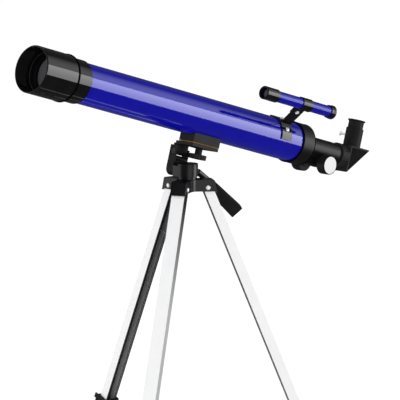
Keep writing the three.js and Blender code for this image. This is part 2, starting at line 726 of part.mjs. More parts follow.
function flipScrew() {
  const headFront = FORK_FRONT + 0.4;
  const headRear = FORK_FRONT + 1.6;
  const rear = KNUCKLE_FROM + KNUCKLE_LENGTH + 2.4;
  const screw = turned([
    [0, headFront], [4, headFront], [4.6, headFront + 0.6], [4.6, headRear],
    [FLIP_PIN_RADIUS, headRear], [FLIP_PIN_RADIUS, rear], [0, rear],
  ], MEDIUM);
  const slot = block([-4.8, headFront - 1, -0.6], [4.8, headFront + 0.6, 0.6]).rotate([0, 35, 0]);
  return alongFlipPin(cut(screw, slot));
}

// ---- Pan base and handle, above the leg pivots ----

const towardsHandle = (solid) =>
  solid.rotate([-HANDLE_ANGLE / DEG, 0, 0]).translate([0, BASE_RADIUS, HANDLE_ROOT]);

const HANDLE_ROOT = 22.4;           // height at which the handle's axis meets the base

function panBase() {
  const body = upright(turned([
    [0, BASE_TOP],
    [BASE_RADIUS - 0.3, BASE_TOP],
    [BASE_RADIUS, BASE_TOP - 0.3],
    [BASE_RADIUS, BASE_TOP - 2.4],
    [BASE_RADIUS - 0.6, BASE_TOP - 2.5],
    [BASE_RADIUS - 0.6, BASE_TOP - 2.9],
    [BASE_RADIUS, BASE_TOP - 3],
    [BASE_RADIUS, BASE_BOTTOM],
    [0, BASE_BOTTOM],
  ], WIDE));
  const lug = block([LUG_FAR, -BASE_RADIUS, BASE_BOTTOM], [0, 5, BASE_TOP - 2.8]);
  const bore = upright(disc(SPINDLE_RADIUS + FIT, BASE_BOTTOM - 1, 28.6, MEDIUM));
  const boltHole = sideways(disc(TILT_BOLT_RADIUS + FIT, LUG_FAR - 1, -6, SMALL))
    .translate([0, TILT_AXIS_Y, TILT_AXIS_Z]);
  const handleHole = towardsHandle(disc(3.3, -9.6, 6, SMALL));
  return cut(joined(body, lug), bore, boltHole, handleHole);
}

function tiltBolt() {
  const far = ARM_NEAR - ARM_WIDTH - FIT;
  const bolt = turned([
    [0, far - 3.4], [4.6, far - 3.4], [5.4, far - 2.8], [5.4, far],
    [TILT_BOLT_RADIUS, far], [TILT_BOLT_RADIUS, -6.4], [0, -6.4],
  ], MEDIUM);
  return sideways(bolt).translate([0, TILT_AXIS_Y, TILT_AXIS_Z]);
}

const GRIP_FROM = 42;               // along the handle from the base's wall
const GRIP_TO = 104.4;
const GRIP_HALF_THICKNESS = 4.8;

function handleRod() {
  const tip = -(BASE_RADIUS - SPINDLE_RADIUS - 2.4);
  return towardsHandle(turned([
    [0, tip], [3, tip], [3, 4.4], [4, 5], [4.6, 6], [4.6, GRIP_FROM - FIT], [0, GRIP_FROM - FIT],
  ], MEDIUM));
}

// A flat paddle: straight along its upper edge, flared below for the fingers
function handleGrip() {
  const grip = sidePlate([
    [GRIP_FROM, -3.7], [GRIP_FROM + 1, -4.7], [GRIP_FROM + 9, -5.4], [73.7, -13.5],
    [GRIP_TO - 1, -15.7], [GRIP_TO, -14.7], [GRIP_TO, 2.3], [GRIP_TO - 1, 3.3],
    [GRIP_FROM + 1, 4.7], [GRIP_FROM, 3.7],
  ], -GRIP_HALF_THICKNESS, GRIP_HALF_THICKNESS);
  return towardsHandle(grip.rotate([0, HANDLE_TWIST / DEG, 0]));
}

// ---- Tripod ----

function hub() {
  const spindleTop = 28.2;
  const neckTop = BASE_BOTTOM - FIT;
  const body = upright(turned([
    [0, spindleTop], [SPINDLE_RADIUS, spindleTop], [SPINDLE_RADIUS, neckTop],
    [NECK_RADIUS, neckTop], [NECK_RADIUS, HUB_TOP + 0.5], [HUB_RADIUS, HUB_TOP],
    [HUB_RADIUS, HUB_BOTTOM], [0, HUB_BOTTOM],
  ], WIDE));
  const lean = 1.8;
  const arm = sidePlate([
    [0, HUB_BOTTOM], [0, HUB_TOP], [ARM_REACH - lean - 1.5, HUB_TOP],
    [ARM_REACH - lean, HUB_TOP - 1.2], [ARM_REACH + lean, HUB_BOTTOM - 1.6],
    [ARM_REACH + lean - 1.6, HUB_BOTTOM - 1.6], [ARM_REACH + lean - 1.6, HUB_BOTTOM],
  ], -ARM_HALF_WIDTH, ARM_HALF_WIDTH);
  const pocketHalf = CHANNEL_WIDTH / 2 + FIT;
  const endWall = 1.6;
  const pocket = sidePlate([
    [PIVOT_RADIUS - 9.2, HUB_BOTTOM - 5], [PIVOT_RADIUS - 9.2, HUB_TOP - 1.4],
    [ARM_REACH - lean - endWall, HUB_TOP - 1.4], [ARM_REACH + lean - endWall, HUB_BOTTOM - 5],
  ], -pocketHalf, pocketHalf);
  const rivetHole = sideways(disc(RIVET_RADIUS + FIT, -14, 14, SMALL)).translate([0, PIVOT_RADIUS, 0]);
  const hollowed = LEG_TURNS.reduce(
    (rest, turn) => rest.subtract(joined(pocket, rivetHole).rotate([0, 0, turn - 90])),
    joined(body, ...LEG_TURNS.map((turn) => arm.rotate([0, 0, turn - 90]))));
  return hollowed;
}

function rivet() {
  const seat = ARM_HALF_WIDTH + FIT / 2;
  return sideways(turned([
    [0, -seat - 1.2], [1.8, -seat - 1], [2.8, -seat - 0.5], [3.1, -seat],
    [RIVET_RADIUS, -seat], [RIVET_RADIUS, seat], [3.1, seat],
    [2.8, seat + 0.5], [1.8, seat + 1], [0, seat + 1.2],
  ], SMALL));
}

// A channel that hangs along -Z and is open towards -Y
function channel(width, depth, wall, lip, top, bottom) {
  const x = width / 2;
  const y = depth / 2;
  return flatPlate([
    [-x, -y], [-x + lip, -y], [-x + lip, -y + wall], [-x + wall, -y + wall],
    [-x + wall, y - wall], [x - wall, y - wall], [x - wall, -y + wall],
    [x - lip, -y + wall], [x - lip, -y], [x, -y], [x, y], [-x, y],
  ], bottom, top);
}

const CHANNEL_TOP = 5.5;

function outerChannel() {
  const body = channel(CHANNEL_WIDTH, CHANNEL_DEPTH, CHANNEL_WALL, 2.6, CHANNEL_TOP, -CHANNEL_LENGTH);
  return cut(body, sideways(disc(RIVET_RADIUS + FIT, -12, 12, SMALL)));
}

const innerWidth = CHANNEL_WIDTH - 2 * CHANNEL_WALL - 2 * FIT;
const innerDepth = CHANNEL_DEPTH - 2 * CHANNEL_WALL - 2 * FIT;
const innerBottom = -CHANNEL_LENGTH - INNER_SHOWN;

function innerChannel() {
  return channel(innerWidth, innerDepth, 1, 2.2, innerBottom + INNER_LENGTH, innerBottom);
}

const LOCK_HEIGHT = 26;
const LOCK_WALL = 2.6;
const LEVER_DROP = 4.6;             // lever pivot below the collar's top
const EAR_REACH = 5.4;

function lockCollar() {
  const x = CHANNEL_WIDTH / 2 + FIT + LOCK_WALL;
  const y = CHANNEL_DEPTH / 2 + FIT + LOCK_WALL;
  const top = -CHANNEL_LENGTH + 12;
  const bottom = top - LOCK_HEIGHT;
  const body = block([-x, -y, bottom], [x, y, top]);
  const socket = block(
    [-CHANNEL_WIDTH / 2 - FIT, -CHANNEL_DEPTH / 2 - FIT, -CHANNEL_LENGTH - FIT],
    [CHANNEL_WIDTH / 2 + FIT, CHANNEL_DEPTH / 2 + FIT, top + 1]);
  const passage = block(
    [-innerWidth / 2 - FIT, -innerDepth / 2 - FIT, bottom - 1],
    [innerWidth / 2 + FIT, innerDepth / 2 + FIT, top]);
  const leverTop = top - LEVER_DROP;
  const ears = [-1, 1].map((side) => {
    const from = Math.min(side * x, side * (x - 2.4));
    return block([from, y - 1, leverTop - 3.4], [from + 2.4, y + EAR_REACH, leverTop + 3.4]);
  });
  const pinHole = sideways(disc(1.5, -x - 1, x + 1, SMALL)).translate([0, y + EAR_REACH - 3, leverTop]);
  return cut(joined(body, ...ears), socket, passage, pinHole);
}

function lockLever() {
  const x = CHANNEL_WIDTH / 2 + FIT + LOCK_WALL;
  const y = CHANNEL_DEPTH / 2 + FIT + LOCK_WALL;
  const pivotY = y + EAR_REACH - 3;
  const pivotZ = -CHANNEL_LENGTH + 12 - LEVER_DROP;
  const half = x - 2.4 - FIT;
  const pin = sideways(disc(1.2, -x, x, SMALL)).translate([0, pivotY, pivotZ]);
  const barrel = sideways(disc(2.1, -half, half, SMALL)).translate([0, pivotY, pivotZ]);
  const blade = sidePlate([
    [pivotY - 1.9, pivotZ], [pivotY - 1.9, pivotZ - 17], [pivotY + 0.6, pivotZ - 21],
    [pivotY + 2.1, pivotZ - 21], [pivotY + 2.1, pivotZ],
  ], -half, half);
  return joined(barrel, blade, pin);
}

const FOOT_DROP = 12;               // sole below the end of the lower section, on the leg's axis
const groundDepth = -innerBottom + FOOT_DROP;

function foot() {
  const x = 10.4;
  const y = 8.6;
  const lean = Math.tan(LEG_SPLAY);
  const sole = -groundDepth;
  const top = innerBottom + 16;
  const body = sidePlate([
    [-y, top], [-y, sole + y * lean + 1.5], [-y + 1.5, sole + (y - 1.5) * lean],
    [y - 3, sole - (y - 3) * lean], [y, sole - (y - 3) * lean + 3],
    [y, top - 2], [y - 2, top],
  ], -x, x);
  const socket = block(
    [-innerWidth / 2 - FIT, -innerDepth / 2 - FIT, innerBottom - FIT],
    [innerWidth / 2 + FIT, innerDepth / 2 + FIT, top + 1]);
  return cut(body, socket);
}

// ---- Assembly ----

const stand = new THREE.Group();
stand.name = 'stand';
stand.add(piece('hub', hub(), MATT_BLACK));

LEG_TURNS.forEach((turn, i) => {
  const name = LEG_NAMES[i];
  const arm = new THREE.Group();
  arm.rotation.z = (turn - 90) * DEG;
  const leg = new THREE.Group();
  leg.name = `leg_${name}`;
  leg.position.set(0, PIVOT_RADIUS, 0);
  leg.rotation.x = LEG_SPLAY;
  const pin = piece(`leg_rivet_${name}`, rivet(), BRIGHT);
  pin.position.set(0, PIVOT_RADIUS, 0);
  leg.add(piece(`leg_outer_${name}`, outerChannel(), ALUMINIUM));
  leg.add(piece(`leg_inner_${name}`, innerChannel(), ALUMINIUM));
  leg.add(piece(`leg_lock_${name}`, lockCollar(), MATT_BLACK));
  leg.add(piece(`lock_lever_${name}`, lockLever(), MATT_BLACK));
  leg.add(piece(`foot_${name}`, foot(), RUBBER));
  arm.add(pin, leg);
  stand.add(arm);
});

const head = new THREE.Group();
head.name = 'head';
head.add(piece('pan_base', panBase(), GLOSS_BLACK));
head.add(piece('tilt_bolt', tiltBolt(), DARK_STEEL));
head.add(piece('pan_handle_rod', handleRod(), DARK_STEEL));
head.add(piece('pan_handle_grip', handleGrip(), GLOSS_BLACK));

const tube = new THREE.Group();
tube.name = 'tube';
tube.rotation.x = -TUBE_TILT;
tube.position.set(0, TUBE_HEIGHT * Math.sin(TUBE_TILT), TUBE_HEIGHT * Math.cos(TUBE_TILT));
tube.add(
  piece('tilt_arm', tiltArm(), GLOSS_BLACK),
  piece('flip_screw', flipScrew(), DARK_STEEL),
  piece('camera_plate', cameraPlate(), GLOSS_BLACK),
  piece('cork_pad', corkPad(), CORK),
  piece('camera_screw_knob', cameraKnob(), GLOSS_BLACK),
  piece('tube_saddle', saddle(), GLOSS_BLACK),
  piece('main_tube', mainTube(), BLUE),
  piece('dew_shade', dewShade(), GLOSS_BLACK),
  piece('objective_cell', objectiveCell(), GLOSS_BLACK),
  piece('lens_retaining_ring', retainingRing(), MATT_BLACK),
  piece('crown_lens', lens(LENS_RADIUS, LENS_FRONT, LENS_FRONT + 5, 0, 0.9, WIDE), LENS),
  piece('flint_lens', lens(LENS_RADIUS, LENS_FRONT + 7, LENS_FRONT + 13.4, -0.9, 0, WIDE), LENS),
  piece('focuser_housing', focuserHousing(), GLOSS_BLACK),
  piece('drawtube', drawtube(), GLOSS_BLACK),
  piece('focus_shaft', focusShaft(), BRASS),
  piece('focus_knob_near', onNearSide(focusKnob()), MATT_BLACK),
  piece('focus_knob_far', onFarSide(focusKnob()), MATT_BLACK),
  piece('knob_cap_near', onNearSide(knobCap()), BRIGHT),
  piece('knob_cap_far', onFarSide(knobCap()), BRIGHT),
  piece('diagonal_body', diagonalBody(), GLOSS_BLACK),
  piece('diagonal_mirror', diagonalMirror(), MIRROR),
  piece('eyepiece_holder', eyepieceHolder(), GLOSS_BLACK),
  piece('eyepiece_thumbscrew', eyepieceThumbscrew(), BRIGHT),
  piece('eyepiece', eyepieceBody(), GLOSS_BLACK),
  piece('eye_lens', eyeLens(), LENS),
  piece('field_lens', fieldLens(), LENS),
  piece('finder_tube', finderTube(), BLUE),
  piece('finder_shade', finderShade(), GLOSS_BLACK),
  piece('finder_objective', finderObjective(), LENS),
  piece('finder_eyepiece', finderEyepiece(), GLOSS_BLACK),
  piece('finder_eye_lens', finderEyeLens(), LENS),
  piece('finder_ring', finderRing(), GLOSS_BLACK),
  piece('finder_bracket', finderBracket(), MATT_BLACK),
  piece('finder_ring_screw', finderRingScrew(), BRIGHT),
  piece('bracket_screw_near', bracketScrew(1), BRIGHT),
  piece('bracket_screw_far', bracketScrew(-1), BRIGHT),
);

head.add(tube);
stand.add(head);

// The origin is under the middle of the object, on the floor
const telescope = new THREE.Group();
telescope.add(stand);
telescope.updateMatrixWorld(true);
const extent = new THREE.Box3().setFromObject(telescope, true);
const middle = extent.getCenter(new THREE.Vector3());
stand.position.set(-middle.x, -middle.y, -extent.min.z);

export default telescope;
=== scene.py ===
import json
import math

import bmesh
import bpy
from mathutils import Matrix, Vector

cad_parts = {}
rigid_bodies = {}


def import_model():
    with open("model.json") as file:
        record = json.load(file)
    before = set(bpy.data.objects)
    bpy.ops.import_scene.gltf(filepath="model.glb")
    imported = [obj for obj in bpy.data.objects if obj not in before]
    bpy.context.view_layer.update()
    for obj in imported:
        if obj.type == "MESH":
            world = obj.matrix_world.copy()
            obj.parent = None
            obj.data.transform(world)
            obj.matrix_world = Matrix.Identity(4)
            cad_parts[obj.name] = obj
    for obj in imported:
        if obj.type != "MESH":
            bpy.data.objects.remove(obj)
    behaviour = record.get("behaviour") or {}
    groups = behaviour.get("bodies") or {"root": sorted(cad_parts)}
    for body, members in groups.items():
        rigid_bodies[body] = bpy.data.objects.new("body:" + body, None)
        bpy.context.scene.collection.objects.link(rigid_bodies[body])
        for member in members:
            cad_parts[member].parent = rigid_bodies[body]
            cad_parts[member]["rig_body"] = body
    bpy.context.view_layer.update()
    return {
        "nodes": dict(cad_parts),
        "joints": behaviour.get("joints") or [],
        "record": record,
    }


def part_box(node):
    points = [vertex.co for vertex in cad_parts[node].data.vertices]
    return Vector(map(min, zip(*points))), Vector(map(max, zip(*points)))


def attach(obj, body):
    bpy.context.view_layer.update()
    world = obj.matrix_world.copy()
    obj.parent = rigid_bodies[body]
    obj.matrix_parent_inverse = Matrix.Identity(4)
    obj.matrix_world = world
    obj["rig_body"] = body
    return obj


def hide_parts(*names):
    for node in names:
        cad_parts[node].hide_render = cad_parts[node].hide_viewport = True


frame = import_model()

MM = 0.001
JOINTS = {j["name"]: j for j in frame["joints"]}
NODES = frame["nodes"]
SLOTS = {s["node"]: s["material_slot"] for s in frame["record"]["subparts"]}
LEGS = ("front", "rear", "far")

# ---- Local frames, each with Y along the piece's own round axis, taken from the joints ----


def basis(origin, along, up):
    """A frame at origin with Y along the first direction and Z as near as it can be to the second."""
    y = Vector(along).normalized()
    x = y.cross(Vector(up)).normalized()
    z = x.cross(y)
    turn = Matrix((x, y, z)).transposed().to_4x4()
    return Matrix.Translation(origin) @ turn


def joint_place(name):
    return Vector(JOINTS[name]["pos_m"])


def joint_axis(name):
    return Vector(JOINTS[name]["axis"]).normalized()


def middle(node):
    low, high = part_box(node)
    return (low + high) / 2


ACROSS = Vector((1, 0, 0))
UP = Vector((0, 0, 1))
TUBE_AXIS = joint_axis("drawtube_slide")
TUBE_UP = joint_axis("camera_knob_turn")

TUBE = basis(joint_place("diagonal_turn"), TUBE_AXIS, TUBE_UP)
FINDER = basis(middle("finder_tube"), TUBE_AXIS, TUBE_UP)
EYEPIECE = basis(joint_place("thumbscrew_turn"), TUBE_UP, -TUBE_AXIS)
THUMBSCREW = basis(joint_place("thumbscrew_turn"), joint_axis("thumbscrew_turn"), TUBE_UP)
FOCUS = basis(joint_place("focus_turn"), ACROSS, TUBE_UP)
TILT = basis(joint_place("tilt"), ACROSS, UP)
FLIP = basis(joint_place("plate_flip"), TUBE_AXIS, TUBE_UP)
HANDLE = basis(joint_place("handle_turn"), joint_axis("handle_turn"), UP)
PAN = basis(joint_place("pan_turn"), UP, ACROSS)
KNOB = basis(joint_place("camera_knob_turn"), TUBE_UP, TUBE_AXIS)


def leg_frame(name):
    """Y down the leg and Z along its pin."""
    pin = "leg_splay_" + name
    return basis(joint_place(pin), joint_axis("leg_extend_" + name), joint_axis(pin))


def rivet_frame(name):
    pin = "leg_splay_" + name
    return basis(joint_place(pin), joint_axis(pin), UP)


def extent(node, place):
    """The lowest and the highest point of a CAD node along the Y axis of place, in millimetres."""
    local = place.inverted() @ NODES[node].matrix_world
    along = [(local @ v.co).y / MM for v in NODES[node].data.vertices]
    return min(along), max(along)


# ---- Meshes ----

WELD = 2e-6                         # points closer than this are one point, in metres
FLAT = math.radians(0.6)            # faces that meet at less than this are one flat face
SHARP = math.radians(24)            # edges sharper than this are rounded
ON_AXIS = 2e-5                      # a CAD node's points nearer the axis than this are on it, in metres
POLE = 1e-6                         # a point of an outline nearer the axis than this is a single point
CORNER_SHARE = 0.42                 # how much of a line a rounded corner may take


def cad_mesh(node):
    """A welded bmesh copy of a CAD node."""
    mesh = bmesh.new()
    mesh.from_mesh(NODES[node].data)
    bmesh.ops.remove_doubles(mesh, verts=mesh.verts, dist=WELD)
    return mesh


def even_normals(piece):
    """Shading follows the large faces, so that small rounded edges read as edges."""
    modifier = piece.modifiers.new("even_normals", "WEIGHTED_NORMAL")
    modifier.weight = 90
    modifier.keep_sharp = True
    return piece


def add_piece(mesh, name, place, body, materials):
    """Turns a bmesh in row coordinates into a smooth piece that rides a body. The piece keeps its own
    coordinates in the frame of place, for its materials."""
    bmesh.ops.recalc_face_normals(mesh, faces=mesh.faces)
    data = bpy.data.meshes.new(name)
    mesh.to_mesh(data)
    mesh.free()
    for polygon in data.polygons:
        polygon.use_smooth = True
    local = place.inverted()
    attribute = data.attributes.new("place", "FLOAT_VECTOR", "POINT")
    for i, vertex in enumerate(data.vertices):
        attribute.data[i].vector = local @ vertex.co
    piece = bpy.data.objects.new(name, data)
    bpy.context.scene.collection.objects.link(piece)
    for material in materials:
        data.materials.append(MATERIALS[material])
    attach(piece, body)
    return piece


def stand_in(mesh, node, place, materials):
    """A piece that takes the place of a CAD node."""
    piece = add_piece(mesh, node + "_shell", place, NODES[node]["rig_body"], materials)
    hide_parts(node)
    return piece


def refined(node, place, width, segments=3, material=None, others=(), chosen=None, whole=True):
    """The CAD shape with its edges rounded by width, in millimetres, and, if whole, each flat face made one.
    chosen gives, from a face's normal and middle in the frame of place, 0 for the material or which of the
    others."""
    mesh = cad_mesh(node)
    if whole:
        bmesh.ops.dissolve_limit(
            mesh, angle_limit=FLAT, verts=mesh.verts, edges=mesh.edges, use_dissolve_boundaries=False)
    if chosen:
        local = place.inverted()
        mesh.normal_update()
        for face in mesh.faces:
            normal = local.to_3x3() @ face.normal
            face.material_index = int(chosen(normal, local @ face.calc_center_median()))
    piece = stand_in(mesh, node, place, [material or SLOTS[node], *others])
    bevel = piece.modifiers.new("rounded_edges", "BEVEL")
    bevel.width = width * MM
    bevel.segments = segments
    bevel.limit_method = "ANGLE"
    bevel.angle_limit = SHARP
    bevel.use_clamp_overlap = True
    bevel.miter_outer = "MITER_ARC"
    return even_normals(piece)


def walked(links, start):
    """The points met on the way along the links from start, without turning back."""
    path = [start]
    last = None
    here = start
    while True:
        onward = [i for i in links[here] if i != last and i not in path[1:]]
        onward = [i for i in onward if i != start or len(path) > 2]
        if not onward or onward[0] == start:
            return path
        last = here
        here = onward[0]
        path.append(here)


def profile_of(node, place):
    """The outline that a round CAD node was turned from: [radius, height] points in metres, in order. Of all
    the half planes that hold points, it is the one with the longest line of edges."""
    mesh = cad_mesh(node)
    local = place.inverted()
    points = {v.index: local @ v.co for v in mesh.verts}
    on_axis = {i for i, p in points.items() if math.hypot(p.x, p.z) < ON_AXIS}
    half_planes = {}
    for i, p in points.items():
        if i not in on_axis:
            half_degrees = round(math.degrees(math.atan2(p.x, p.z)) * 2) % 720
            half_planes.setdefault(half_degrees, []).append(i)
    best = []
    for members in half_planes.values():
        links = {i: [] for i in on_axis.union(members)}
        for edge in mesh.edges:
            a, b = (v.index for v in edge.verts)
            if a in links and b in links and not (a in on_axis and b in on_axis):
                links[a].append(b)
                links[b].append(a)
        ends = [i for i in on_axis if len(links[i]) == 1]
        path = walked(links, ends[0] if ends else members[0])
        if len(path) > len(best):
            best = path
    mesh.free()
    return [Vector((math.hypot(points[i].x, points[i].z), points[i].y)) for i in best]


def is_closed(outline):
    """Whether an outline goes round a bore, and not from the axis to the axis."""
    return outline[0][0] > POLE


def softened(outline, radius, steps=3):
    """The same outline with each sharp corner turned into a small arc."""
    closed = is_closed(outline)
    last = len(outline) - 1
    rounded = []
    for i, corner in enumerate(outline):
        if not closed and i in (0, last):
            rounded.append(corner)
            continue
        before = outline[i - 1]
        after = outline[(i + 1) % len(outline)]
        into = corner - before
        out = after - corner
        turn = into.angle(out)
        if turn < SHARP:
            rounded.append(corner)
            continue
        reach = min(radius * math.tan(turn / 2), CORNER_SHARE * into.length, CORNER_SHARE * out.length)
        start = corner - into.normalized() * reach
        end = corner + out.normalized() * reach
        for step in range(steps + 1):
            share = step / steps
            rounded.append(start.lerp(corner, share).lerp(corner.lerp(end, share), share))
    return rounded


def revolved(outline, place, segments):
    """A bmesh of [radius, height] points in metres, turned about the Y axis of place."""
    mesh = bmesh.new()
    rings = []
    for distance, height in outline:
        if distance < POLE:
            rings.append([mesh.verts.new(place @ Vector((0, height, 0)))])
            continue
        ring = []
        for k in range(segments):
            angle = 2 * math.pi * k / segments
            around = Vector((math.sin(angle), 0, math.cos(angle)))
            ring.append(mesh.verts.new(place @ (distance * around + Vector((0, height, 0)))))
        rings.append(ring)
    pairs = list(zip(rings, rings[1:]))
    if is_closed(outline):
        pairs.append((rings[-1], rings[0]))
    for one, two in pairs:
        for k in range(segments):
            after = (k + 1) % segments
            corners = [one[k % len(one)], one[after % len(one)], two[after % len(two)], two[k % len(two)]]
            kept = [c for n, c in enumerate(corners) if c not in corners[:n]]
            if len(kept) > 2:
                mesh.faces.new(kept)
    return mesh


def turned(node, place, segments=96, radius=0.4, material=None, slimmer=0.0):
    """The CAD node's own outline, turned again finely with softened corners. slimmer, in millimetres, leaves
    a little room about a piece that rests against another one."""
    outline = [Vector((max(r - slimmer * MM, 0), height)) for r, height in profile_of(node, place)]
    mesh = revolved(softened(outline, radius * MM), place, segments)
    return even_normals(stand_in(mesh, node, place, [material or SLOTS[node]]))


# ---- Materials ----

DRAWN = (1, 0.02, 1)                # grain drawn out along the piece


def new_material(name):
    material = bpy.data.materials.new(name)
    material.use_nodes = True
    tree = material.node_tree
    return material, tree, tree.nodes["Principled BSDF"]


def own_place(tree):
    """The point's coordinates in the piece's own frame."""
    node = tree.nodes.new("ShaderNodeAttribute")
    node.attribute_name = "place"
    return node.outputs["Vector"]


def grain(tree, scale, stretch=(1, 1, 1)):
    """Noise over the piece's own coordinates, in lumps of about 1/scale metres."""
    mapping = tree.nodes.new("ShaderNodeMapping")
    mapping.inputs["Scale"].default_value = stretch
    noise = tree.nodes.new("ShaderNodeTexNoise")
    noise.inputs["Scale"].default_value = scale
    noise.inputs["Detail"].default_value = 3.0
    tree.links.new(own_place(tree), mapping.inputs["Vector"])
    tree.links.new(mapping.outputs["Vector"], noise.inputs["Vector"])
    return noise.outputs["Fac"]


def spread(tree, value, start, end, low, high):
    """value, from start to end, moved to run from low to high."""
    node = tree.nodes.new("ShaderNodeMapRange")
    node.inputs["From Min"].default_value = start
    node.inputs["From Max"].default_value = end
    node.inputs["To Min"].default_value = low
    node.inputs["To Max"].default_value = high
    tree.links.new(value, node.inputs["Value"])
    return node.outputs["Result"]


def ranged(tree, noise, low, high):
    """Noise, which is mostly between 0.3 and 0.7, moved to run from low to high."""
    return spread(tree, noise, 0.3, 0.7, low, high)


def colour_between(tree, noise, one, two):
    ramp = tree.nodes.new("ShaderNodeValToRGB")
    ramp.color_ramp.elements[0].position = 0.32
    ramp.color_ramp.elements[1].position = 0.68
    ramp.color_ramp.elements[0].color = (*one, 1)
    ramp.color_ramp.elements[1].color = (*two, 1)
    tree.links.new(noise, ramp.inputs["Fac"])
    return ramp.outputs["Color"]


def bumped(tree, shader, value, height):
    """Relief of the given height in metres."""
    bump = tree.nodes.new("ShaderNodeBump")
    bump.inputs["Distance"].default_value = height
    bump.inputs["Strength"].default_value = 1.0
    tree.links.new(value, bump.inputs["Height"])
    tree.links.new(bump.outputs["Normal"], shader.inputs["Normal"])


def grey(level):
    return (level, level, level)


def coated(name, one, two, rough, metallic=0.0, coat=0.0, coat_rough=0.03, specular=0.5,
           lumps=900, relief=2e-6, stretch=(1, 1, 1)):
    """Paint, enamel or moulding: two close shades, uneven gloss and a fine relief."""
    material, tree, shader = new_material(name)
    noise = grain(tree, lumps, stretch)
    broad = grain(tree, lumps / 40)
    tree.links.new(colour_between(tree, broad, one, two), shader.inputs["Base Color"])
    tree.links.new(ranged(tree, noise, *rough), shader.inputs["Roughness"])
    shader.inputs["Metallic"].default_value = metallic
    shader.inputs["Coat Weight"].default_value = coat
    shader.inputs["Coat Roughness"].default_value = coat_rough
    shader.inputs["Specular IOR Level"].default_value = specular
    bumped(tree, shader, noise, relief)
    return material


def shade_gradient(name, one, two, start, end):
    """Painted shade on metal: the base colour runs from one colour at start to another at end, in metres
    along the piece, in place of shadow and dark reflections.
    """
    material, tree, shader = new_material(name)
    parts = tree.nodes.new("ShaderNodeSeparateXYZ")
    tree.links.new(own_place(tree), parts.inputs["Vector"])
    colour = tree.nodes.new("ShaderNodeMix")
    colour.data_type = "RGBA"
    colour.inputs["A"].default_value = (*one, 1)
    colour.inputs["B"].default_value = (*two, 1)
    tree.links.new(spread(tree, parts.outputs["Y"], start, end, 0.0, 1.0), colour.inputs["Factor"])
    tree.links.new(colour.outputs["Result"], shader.inputs["Base Color"])
    noise = grain(tree, 2200, DRAWN)
    tree.links.new(ranged(tree, noise, 0.35, 0.45), shader.inputs["Roughness"])
    shader.inputs["Specular IOR Level"].default_value = 0.1
    bumped(tree, shader, noise, 5e-7)
    return material


def glass(name):
    material, tree, shader = new_material(name)
    shader.inputs["Base Color"].default_value = (0.085, 0.086, 0.092, 1)
    shader.inputs["Coat Weight"].default_value = 1.0
    tree.links.new(ranged(tree, grain(tree, 60), 0.03, 0.06), shader.inputs["Roughness"])
    return material


def cork(name):
    material, tree, shader = new_material(name)
    cells = tree.nodes.new("ShaderNodeTexVoronoi")
    cells.inputs["Scale"].default_value = 900
    tree.links.new(own_place(tree), cells.inputs["Vector"])
    tone = colour_between(tree, cells.outputs["Distance"], (0.13, 0.055, 0.006), (0.3, 0.14, 0.02))
    tree.links.new(tone, shader.inputs["Base Color"])
    shader.inputs["Roughness"].default_value = 0.9
    bumped(tree, shader, cells.outputs["Distance"], 1e-4)
    return material


